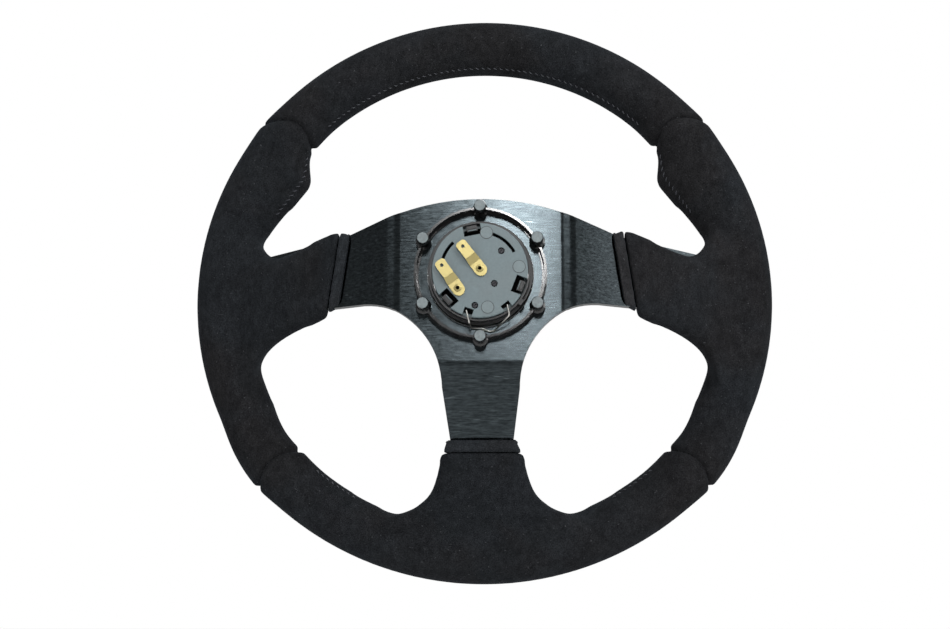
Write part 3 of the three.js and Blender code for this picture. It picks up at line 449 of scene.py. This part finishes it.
# ---------- the grip's shape ----------
def rim_radius(angle):
    """Outer radius of the grip: round, easing into the wider arc of the flattened bottom."""
    below = -above_level(angle)
    lift = FLAT_CENTRE * math.sin(math.radians(below))
    flat = math.sqrt(lift * lift - FLAT_CENTRE ** 2 + FLAT_RADIUS ** 2) - lift
    return mix(RIM_OUTER, flat, ease(FLAT_STARTS, FLAT_ENDS, below))


def thumb_proud(angle):
    """How far the thumb grip stands in from the ring's inner edge."""
    above = above_level(angle)
    if above > THUMB_CREST:
        return THUMB_PROUD * (1 - ease(THUMB_CREST, THUMB_TOP, above))
    return THUMB_PROUD * ease(THUMB_FOOT - 6, THUMB_CREST, above)


def grip_ring():
    """The grip as one closed ring: a circle spun round the column's axis, then shaped."""
    bm = bmesh.new()
    middle = RIM_OUTER - GRIP_RADIAL / 2
    half = GRIP_RADIAL / 2
    bmesh.ops.create_circle(bm, segments=40, radius=half, matrix=Matrix.Translation((middle, 0, 0)))
    bmesh.ops.spin(bm, geom=bm.verts[:] + bm.edges[:], cent=(0, 0, 0), axis=(0, 1, 0), dvec=(0, 0, 0),
                   angle=math.tau, steps=288, use_merge=True)
    for v in bm.verts:
        angle = angle_of(v.co)
        out = (math.hypot(v.co.x, v.co.z) - middle) / half
        front = v.co.y / half
        outer = rim_radius(angle)
        inward = half + thumb_proud(angle) if out < 0 else half
        v.co = polar(outer - half + out * inward, angle, RIM_Y + front * GRIP_DEPTH / 2)
    bmesh.ops.recalc_face_normals(bm, faces=bm.faces)
    return bm


def spoke_rear(out, bend):
    """Height of a spoke's rear face above the hub's, at a distance out from the hub centre."""
    tab = FRAME_HIGH.y - SHEET
    reach = (FRAME_HIGH.x if bend == SIDE_BEND else -FRAME_LOW.z) - TAB_END
    return tab * min(1, max(0, (out - bend) / (reach - bend)))


# Sleeve stations, in mm: out from the hub centre, lowest and highest across, half thickness.
SIDE_SLEEVE = [(87.2, -18.5, 31, 7), (92, -20.3, 30.6, 8), (101, -22.9, 28, 9.4),
               (110, -25.5, 24.9, 10.9), (118, -28.6, 22.4, 12.2), (125, -32.7, 21.9, 13.2),
               (130, -37.5, 23.6, 13.6), (133.5, -46, 28.5, 13.8), (137, -56, 36, 13.8),
               (146, -62, 42, 13.2), (157, -66, 46, 12.6)]
LOWER_SLEEVE = [(97.6, -23.2, 23.2, 7), (101, -25, 25, 7.8), (109.5, -27.1, 27.1, 9.3),
                (118, -29.9, 29.9, 11.2), (122.5, -33.3, 33.3, 12.4), (126.5, -38.6, 38.6, 13.3),
                (129.5, -46.5, 46.5, 13.8), (133, -58, 58, 13.8), (144, -66, 66, 13.2),
                (155, -70, 70, 12.6)]
SLEEVE_SLANT = 0.16
SLANT_ZERO = 4 * MM
# The bands, in mm: how far out each starts, and its lowest and highest across. Then a band's section, as
# (how far along the spoke, how far proud of it), and how much it widens on the way.
SIDE_BAND = (79.9, -11.5, 26.3)
LOWER_BAND = (90.7, -18.4, 18.4)
BAND_SECTION = [(0, 0.2), (0, 1.2), (0.5, 1.9), (1.2, 2.1), (1.9, 1.7), (3.2, 2.0), (5.2, 2.3),
                (6.2, 2.1), (6.6, 1.4), (6.6, 0.2)]
BAND_FLARE = 0.25


def squarish(v, power):
    """Pushes a circle's coordinate outward, so that the circle turns into a rounded square."""
    return math.copysign(abs(v) ** power, v)


def sleeve(stations, bend, place):
    """A closed sleeve round a spoke: one squarish loop at each station, bridged, with filled ends."""
    bm = bmesh.new()
    first, last = stations[0][0], stations[-1][0]
    for out, low, high, deep in stations:
        loop = bmesh.ops.create_circle(bm, segments=32, radius=1)["verts"]
        slant = SLEEVE_SLANT * (last - out) / (last - first)
        for v in loop:
            across = mix(low, high, (squarish(v.co.x, 0.45) + 1) / 2) * MM
            away = out * MM + slant * (SLANT_ZERO - across) * (bend == SIDE_BEND)
            y = spoke_rear(away, bend) + SLEEVE_MIDDLE + deep * MM * squarish(v.co.y, 0.6)
            v.co = place(away, y, across)
    bmesh.ops.bridge_loops(bm, edges=[e for e in bm.edges])
    bmesh.ops.holes_fill(bm, edges=bm.edges)
    bmesh.ops.recalc_face_normals(bm, faces=bm.faces)
    return bm


def added(bm, other):
    """Adds another bmesh's geometry to bm."""
    scratch = bpy.data.meshes.new("scratch")
    other.to_mesh(scratch)
    other.free()
    bm.from_mesh(scratch)
    bpy.data.meshes.remove(scratch)


def cover_solid():
    """The whole cover as one smooth closed skin: grip ring and three sleeves, remeshed and relaxed."""
    bm = grip_ring()
    added(bm, sleeve(SIDE_SLEEVE, SIDE_BEND, to_right))
    added(bm, sleeve(SIDE_SLEEVE, SIDE_BEND, to_left))
    added(bm, sleeve(LOWER_SLEEVE, LOWER_BEND, downward))
    mesh = bpy.data.meshes.new("cover")
    bm.to_mesh(mesh)
    bm.free()
    bm = voxel_skin(mesh, COVER_VOXEL)
    joints = [v for v in bm.verts if near_joint(v.co)]
    relaxed(bm, joints, JOINT_PASSES)
    relaxed(bm, [v for v in joints if near_corner(v.co)], CORNER_PASSES)
    relaxed(bm, bm.verts, SKIN_PASSES)
    return bm


def near_joint(point):
    """True where a sleeve flows into the grip."""
    radius = math.hypot(point.x, point.z)
    angle = angle_of(point)
    side = abs(above_level(angle)) < SIDE_JOINT
    lower = abs(angle + 90) < LOWER_JOINT
    return (side or lower) and JOINT_NEAR < radius < JOINT_FAR


def near_corner(point):
    return any(math.hypot(abs(point.x) - x, point.z - z) < CORNER_REACH for x, z in CORNERS)


# ---------- panels ----------
def seam_angle(seam, radius, outer):
    """Degrees from level of a seam at a radius: it curves across the grip."""
    start, lean, curve = seam
    t = min(1.1, max(-0.4, 1 - (outer - radius) / GRIP_RADIAL))
    return start + lean * t + curve * t * t


def seam_at(side, level, radius):
    """Angle round the wheel of a seam: side is 1 for right, -1 for left; level 1 for top, -1 for bottom."""
    seam = TOP_SEAM if level > 0 else BOTTOM_SEAM
    from_level = level * seam_angle(seam, radius, rim_radius(level * SEAM_LEVEL))
    return from_level if side > 0 else 180 - from_level


def straight_angle(side, level):
    """Angle round the wheel of the plane that a seam is straightened into."""
    return level * SEAM_LEVEL if side > 0 else 180 - level * SEAM_LEVEL


def wrap(angle):
    return (angle + 180) % 360 - 180


def turned(bm, side, level, back=1):
    """Straightens a curved seam into its plane, or with back=-1 curves it again."""
    straight = straight_angle(side, level)
    for v in bm.verts:
        radius = math.hypot(v.co.x, v.co.z)
        shift = straight - seam_at(side, level, radius)
        near = 1 - ease(SEAM_TURN_FULL, SEAM_TURN_ENDS, abs(wrap(angle_of(v.co) - straight)))
        v.co = polar(radius, angle_of(v.co) + back * shift * near, v.co.y)


def cut_seam(bm, side, level, keep_above):
    """Cuts the skin along a seam and closes the cut."""
    turned(bm, side, level)
    normal = polar(1, straight_angle(side, level) + 90)
    outward = -1 if (normal.z > 0) == keep_above else 1
    cut = sliced(bm, (0, 0, 0), normal * outward, clear_outer=True)
    rim = [e for e in cut["geom_cut"] if isinstance(e, bmesh.types.BMEdge)]
    bmesh.ops.holes_fill(bm, edges=rim, sides=0)
    turned(bm, side, level, -1)


def pinch_seams(bm, seams):
    """Draws the skin in at its seams and lets it swell a little beside them."""
    bm.normal_update()
    for v in bm.verts:
        radius = math.hypot(v.co.x, v.co.z)
        if radius < SEAM_INNER:
            continue
        off = min(abs(wrap(angle_of(v.co) - seam_at(side, level, radius))) for side, level in seams)
        away = math.radians(off) * radius
        draw = SEAM_GROOVE * math.exp(-((away / SEAM_WIDTH) ** 2))
        swell = SEAM_SWELL * math.exp(-((away / SWELL_WIDTH) ** 2))
        middle = polar(rim_radius(angle_of(v.co)) - GRIP_RADIAL / 2, angle_of(v.co), RIM_Y)
        v.co += (v.co - middle).normalized() * (swell - draw)


def make_panels(cover):
    """Cuts the cover into its four sewn panels."""
    scratch = bpy.data.meshes.new("cover_skin")
    cover.to_mesh(scratch)
    skins = {}
    panels = {
        "suede_top": [(-1, 1, True), (1, 1, True)],
        "suede_left": [(-1, 1, False), (-1, -1, True)],
        "suede_right": [(1, 1, False), (1, -1, True)],
        "suede_bottom": [(-1, -1, False), (1, -1, False)],
    }
    for node, cuts in panels.items():
        bm = bmesh.new()
        bm.from_mesh(scratch)
        far = {"suede_left": 1, "suede_right": -1}.get(node)
        if far:
            sliced(bm, (0, 0, 0), (far, 0, 0), clear_outer=True)
        for side, level, above in cuts:
            cut_seam(bm, side, level, above)
        pinch_seams(bm, [(side, level) for side, level, _ in cuts])
        bmesh.ops.recalc_face_normals(bm, faces=bm.faces)
        skins[node.removeprefix("suede_")] = BVHTree.FromBMesh(bm)
        finished(bm, node.replace("suede_", "grip_panel_"), SUEDE, smooth_angle=60,
                 replaces=(node,))
    bpy.data.meshes.remove(scratch)
    return skins


def binding(side, band, bend, place):
    """A folded band of suede round a spoke: a rolled edge, a flat fold and a raw outer edge."""
    bm = bmesh.new()
    out, low, high = band
    for ahead, proud in BAND_SECTION:
        loop = bmesh.ops.create_circle(bm, segments=72, radius=1)["verts"]
        for v in loop:
            flare = proud + BAND_FLARE * ahead
            across = mix(low - flare, high + flare, (squarish(v.co.x, 0.34) + 1) / 2) * MM
            away = out * MM + ahead * MM + SLEEVE_SLANT * (SLANT_ZERO - across) * (bend == SIDE_BEND)
            deep = (SLEEVE_MIDDLE + proud * MM) * squarish(v.co.y, 0.45)
            v.co = place(away, spoke_rear(away, bend) + SLEEVE_MIDDLE + deep, across)
    bmesh.ops.bridge_loops(bm, edges=[e for e in bm.edges])
    bmesh.ops.holes_fill(bm, edges=bm.edges)
    bmesh.ops.recalc_face_normals(bm, faces=bm.faces)
    for v in bm.verts:
        x, _, z = v.co
        v.co += Vector((math.sin(z * 900), math.sin(x * 800 + z * 500), math.sin(x * 1100))) * 0.12 * MM
    finished(bm, f"folded_band_{side}", BINDING, smooth_angle=60,
             replaces=(f"binding_{side}",))


def make_foam(cover):
    """The padding under the suede: the cover's shape, drawn in and made coarser."""
    mesh = bpy.data.meshes.new("padding")
    cover.to_mesh(mesh)
    bm = voxel_skin(mesh, FOAM_VOXEL)
    bm.normal_update()
    normals = [v.normal.copy() for v in bm.verts]
    for v, normal in zip(bm.verts, normals):
        v.co -= normal * FOAM_UNDER
    finished(bm, "grip_padding", FOAM, smooth_angle=60, replaces=("rim_foam",))


def make_bindings():
    binding("right", SIDE_BAND, SIDE_BEND, to_right)
    binding("left", SIDE_BAND, SIDE_BEND, to_left)
    binding("bottom", LOWER_BAND, LOWER_BEND, downward)


# ---------- stitching ----------
def thread(bm, start, end, lift, radius):
    """One stitch: a thread that rises out of the suede, runs over it and dips back in."""
    steps = 6
    along = (end - start).normalized()
    side = along.cross(lift).normalized()
    rings = []
    for k in range(steps + 1):
        t = k / steps
        middle = start.lerp(end, t) + lift * radius * (math.sin(math.pi * t) * 1.5 - 0.5)
        tip = 0.35 + 0.65 * math.sin(math.pi * t)
        rings.append([bm.verts.new(middle + (side * math.cos(a) + lift * math.sin(a)) * radius * tip)
                      for a in (math.tau * n / 6 for n in range(6))])
    for a, b in zip(rings, rings[1:]):
        for n in range(6):
            bm.faces.new((a[n], a[(n + 1) % 6], b[(n + 1) % 6], b[n]))
    bm.faces.new(rings[0][::-1])
    bm.faces.new(rings[-1])


def stitch_row(bm, skin, start, end, dip):
    """Stitches beside the grip's inner edge between two angles, dip degrees round the grip from it."""
    count = max(1, round(math.radians(abs(end - start)) * STITCH_RUN / STITCH_PITCH))
    for k in range(count):
        ends = []
        for part in (0.18, 0.82):
            angle = mix(start, end, (k + part) / count)
            middle = polar(rim_radius(angle) - GRIP_RADIAL / 2, angle, RIM_Y)
            inward, down = -polar(1, angle), Vector((0, -1, 0))
            turn = math.radians(dip + STITCH_LEAN * (1 if part > 0.5 else -1))
            aim = inward * math.cos(turn) + down * math.sin(turn)
            hit, normal, _, _ = skin.ray_cast(middle + aim * 60 * MM, -aim)
            if hit is None:
                break
            ends.append((hit, normal))
        if len(ends) == 2:
            (start_at, start_up), (end_at, end_up) = ends
            thread(bm, start_at, end_at, (start_up + end_up).normalized(), STITCH_RADIUS)


def make_stitching(skins):
    rows = {
        "top": [(48, 132, 26)],
        "left": [(140.5, 158, 17)],
        "right": [(22, 39.5, 17)],
        "bottom": [(226, 238, 26), (302, 314, 26)],
    }
    for panel, runs in rows.items():
        bm = bmesh.new()
        for start, end, dip in runs:
            stitch_row(bm, skins[panel], start, end, dip)
        bmesh.ops.recalc_face_normals(bm, faces=bm.faces)
        finished(bm, f"rim_stitching_{panel}", THREAD)


# ---------- metal and plastic ----------
def soft_bend(bm, bend, across):
    """Turns a sharp fold at a distance out along x or z into a wide one: slices it and eases the slices."""
    along = Vector((1, 0, 0)) if across == "x" else Vector((0, 0, 1))
    for k in range(BEND_SLICES + 1):
        at = bend + mix(-BEND_HALF, BEND_HALF, k / BEND_SLICES)
        sliced(bm, along * at, along)
    for v in bm.verts:
        past = (v.co.dot(along) - bend) * math.copysign(1, bend)
        if abs(past) < BEND_HALF:
            v.co.y += BEND_SLOPE * ((past + BEND_HALF) ** 2 / (4 * BEND_HALF) - max(0, past))


def make_spoke_frame():
    """The bent sheet: wide bends, broken edges, and a map of the brushing direction."""
    bm = solid_of("spoke_frame")
    for bend, across in ((SIDE_BEND, "x"), (-SIDE_BEND, "x"), (-LOWER_BEND, "z")):
        soft_bend(bm, bend, across)
    rounded(bm, edges_by_angle(bm, 62), 0.45 * MM, 2)
    grain = bm.loops.layers.uv.new("grain")
    for face in bm.faces:
        for corner in face.loops:
            corner[grain].uv = (corner.vert.co.z * 10, corner.vert.co.x * 10)
    finished(bm, "hub_plate_and_spokes", PLATE, smooth_angle=30,
             replaces=("spoke_frame",), flat=True)


def soften(node, name, material, width, body="root"):
    """A CAD piece with its edges rounded off."""
    bm = solid_of(node)
    rounded(bm, edges_by_angle(bm, 40), width)
    finished(bm, name, material, body=body, smooth_angle=48, replaces=(node,), flat=True)


def rod(path, radius, sides=10):
    """A round wire along a path of points, square to the path at each bend, with closed ends."""
    bm = bmesh.new()
    points = [Vector(p) * MM for p in path]
    for k, point in enumerate(points):
        ahead = (points[min(k + 1, len(points) - 1)] - points[max(k - 1, 0)]).normalized()
        turn = ahead.to_track_quat("Z", "Y").to_matrix().to_4x4()
        bmesh.ops.create_circle(bm, segments=sides, radius=radius, matrix=Matrix.Translation(point) @ turn)
    bmesh.ops.bridge_loops(bm, edges=bm.edges[:])
    bmesh.ops.holes_fill(bm, edges=bm.edges)
    bmesh.ops.recalc_face_normals(bm, faces=bm.faces)
    return bm


def eased_path(corners, reach=1.1, steps=4):
    """The corners of a bent wire with each bend turned into a short curve."""
    corners = [Vector(c) for c in corners]
    path = [corners[0]]
    for before, corner, after in zip(corners, corners[1:], corners[2:]):
        start = corner + (before - corner).normalized() * min(reach, (before - corner).length / 2.2)
        end = corner + (after - corner).normalized() * min(reach, (after - corner).length / 2.2)
        for k in range(steps + 1):
            t = k / steps
            path.append(start.lerp(corner, t).lerp(corner.lerp(end, t), t))
    return path + [corners[-1]]


def make_wire_clip():
    wire = eased_path([(-7.6, -13.3, -22.5), (-6, -13, -29.4), (-5.2, -1.55, -30.8), (0.4, -1.55, -30.95),
                       (5.6, -1.55, -32.8), (8.2, -1.55, -32), (16.4, -13, -25.2), (15.2, -13.3, -19.4)])
    finished(rod(wire, 0.42 * MM), "spring_wire_clip", STEEL, body="wire_clip",
             smooth_angle=60, replaces=("wire_clip",))


def make_base_marks():
    """Round ejector marks on the rear of the horn unit's base, each in a thin black ring that is painted
    shade, standing for the shaded groove round the mark.
    """
    turn = Matrix.Rotation(math.radians(90), 4, "X")
    # Painted shade: the black ring stands for the shadow in a groove round each mark; the mark itself is a
    # lighter grey plastic.
    rounds = [("ring", SATIN_BLACK, 3.65, 0.1), ("mark", PAD_PLASTIC, 3.35, 0.22)]
    for name, material, radius, proud in rounds:
        bm = bmesh.new()
        for x, z in ((3.7, 21.4), (21.9, 1.9), (4.3, -21)):
            middle = Matrix.Translation((x * MM, BASE_FACE + (0.3 - proud) * MM, z * MM))
            bmesh.ops.create_cone(bm, segments=40, radius1=radius * MM, radius2=radius * MM, depth=0.6 * MM,
                                  cap_ends=True, matrix=middle @ turn)
        rounded(bm, edges_by_angle(bm, 60), 0.05 * MM, 2)
        bmesh.ops.recalc_face_normals(bm, faces=bm.faces)
        finished(bm, f"ejector_{name}s", material, flat=True)


def make_hook_ribs():
    """Three raised ribs on the tip of each snap hook, seen in the base's windows."""
    bm = bmesh.new()
    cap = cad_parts["horn_cap"].data
    skin = BVHTree.FromPolygons([v.co for v in cap.vertices], [p.vertices[:] for p in cap.polygons])
    for angle in (100.6, -21, 222):
        for k in range(3):
            at = polar((20.6 + 1.35 * k) * MM, angle)
            hit = skin.ray_cast(Vector((at.x, -0.05, at.z)), Vector((0, 1, 0)))[0]
            if hit is None:
                continue
            turn = Matrix.Rotation(math.radians(90 - angle), 4, "Y")
            bmesh.ops.create_cube(bm, size=1, matrix=Matrix.Translation(hit) @ turn
                                  @ Matrix.Diagonal((4.6 * MM, 0.8 * MM, 0.45 * MM, 1)))
    rounded(bm, edges_by_angle(bm, 60), 0.12 * MM, 2)
    finished(bm, "snap_hook_ribs", GREY_PLASTIC, body="horn_button", flat=True)


def make_terminal(side):
    """A brass blade with a soft joggle and broken edges."""
    bm = solid_of(f"terminal_{side}")
    rounded(bm, [e for e in edges_by_angle(bm, 14, 65) if e.calc_length() > 5 * MM], 0.9 * MM, 5)
    rounded(bm, edges_by_angle(bm, 66), 0.13 * MM, 2)
    finished(bm, f"brass_terminal_{side}", BRASS, smooth_angle=48,
             replaces=(f"terminal_{side}",), flat=True)


def make_hole_edge():
    """The edge of the plate's hub hole: a thin metal ring whose bright colour is a painted highlight,
    standing for the glint of light on the hole's chamfer.
    """
    bm = bmesh.new()
    bmesh.ops.create_circle(bm, segments=10, radius=0.24 * MM,
                            matrix=Matrix.Translation((HUB_HOLE + 0.1 * MM, 0.12 * MM, 0)))
    bmesh.ops.spin(bm, geom=bm.verts[:] + bm.edges[:], cent=(0, 0, 0), axis=(0, 1, 0), dvec=(0, 0, 0),
                   angle=math.tau, steps=144, use_merge=True)
    bmesh.ops.recalc_face_normals(bm, faces=bm.faces)
    finished(bm, "hub_hole_edge", HOLE_EDGE_PAINTED_GLINT, smooth_angle=60)


def make_hub_pieces():
    soften("peg_ring", "rear_peg_ring", PEG_GLOSS_PAINTED_HIGHLIGHT, 0.2 * MM, body="peg_ring")
    soften("horn_base", "horn_unit_base", GREY_PLASTIC, 0.16 * MM)
    soften("horn_housing", "horn_unit_housing", SATIN_BLACK, 0.25 * MM)
    soften("front_trim_ring", "driver_side_trim_ring", TURNED, 0.4 * MM)
    soften("horn_bezel", "horn_bezel_ring", GLOSS, 0.3 * MM)
    soften("horn_cap", "horn_button_cap", SATIN_BLACK, 0.25 * MM, body="horn_button")
    make_wire_clip()
    make_hole_edge()
    make_base_marks()
    make_hook_ribs()
    for side in ("upper", "lower"):
        make_terminal(side)
        soften(f"terminal_rivet_{side}", f"hollow_rivet_{side}", BRASS, 0.08 * MM)
    for n in (1, 2, 3):
        soften(f"base_screw_{n}", f"slotted_screw_{n}", DARK_STEEL, 0.08 * MM)


def finish_cad(names, material):
    for name in names:
        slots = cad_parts[name].material_slots
        for i in range(len(slots)):
            slots[i].material = material


# ---------- stage ----------
def make_camera():
    side, rise = math.radians(VIEW_SIDE), math.radians(VIEW_RISE)
    back = Vector((math.sin(side) * math.cos(rise), -math.cos(side) * math.cos(rise), math.sin(rise)))
    data = bpy.data.cameras.new("camera")
    data.sensor_width = SENSOR
    data.lens = LENS
    camera = bpy.data.objects.new("camera", data)
    camera.location = VIEW_TARGET + back * VIEW_DISTANCE
    camera.rotation_euler = (-back).to_track_quat("-Z", "Y").to_euler()
    bpy.context.scene.collection.objects.link(camera)
    bpy.context.scene.camera = camera


def softbox(name, place, size, power):
    data = bpy.data.lights.new(name, "AREA")
    data.shape = "RECTANGLE"
    data.size, data.size_y = size
    data.energy = power
    light = bpy.data.objects.new(name, data)
    light.location = place
    light.rotation_euler = (Vector() - Vector(place)).to_track_quat("-Z", "Y").to_euler()
    bpy.context.scene.collection.objects.link(light)


def make_stage():
    bm = bmesh.new()
    bmesh.ops.create_grid(bm, x_segments=1, y_segments=1, size=FLOOR_SIZE,
                          matrix=Matrix.Translation((0, 0, CAD_BOX[0].z - FLOOR_DROP)))
    mesh = bpy.data.meshes.new("floor")
    bm.to_mesh(mesh)
    bm.free()
    floor = bpy.data.objects.new("floor", mesh)
    bpy.context.scene.collection.objects.link(floor)
    paint = Shader("pale_floor").set(Base_Color=(FLOOR_TONE, FLOOR_TONE, FLOOR_TONE, 1), Roughness=0.9)
    mesh.materials.append(paint.material)
    for name, (place, size, power) in SOFTBOXES.items():
        softbox(name, place, size, power)
    world = bpy.data.worlds.new("studio")
    world.use_nodes = True
    nodes, links = world.node_tree.nodes, world.node_tree.links
    seen = nodes.new("ShaderNodeLightPath").outputs["Is Camera Ray"]
    strength = nodes.new("ShaderNodeMapRange")
    strength.inputs["To Min"].default_value = WORLD_LIGHT
    strength.inputs["To Max"].default_value = WORLD_SEEN
    links.new(seen, strength.inputs["Value"])
    links.new(strength.outputs["Result"], nodes["Background"].inputs["Strength"])
    nodes["Background"].inputs["Color"].default_value = (1, 1, 1, 1)
    bpy.context.scene.world = world
    bpy.context.scene.view_settings.view_transform = "Standard"


make_camera()
make_stage()
cover = cover_solid()
make_foam(cover)
make_stitching(make_panels(cover))
make_bindings()
make_spoke_frame()
make_hub_pieces()
finish_cad(["rim_core"], HOOP_METAL)
finish_cad(["contact_disc", "contact_strip_upper", "contact_strip_lower"], BRASS)
finish_cad(["return_spring_1", "return_spring_2", "return_spring_3"], STEEL)
finish_cad([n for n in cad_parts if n.startswith("spoke_rivet")], STEEL)
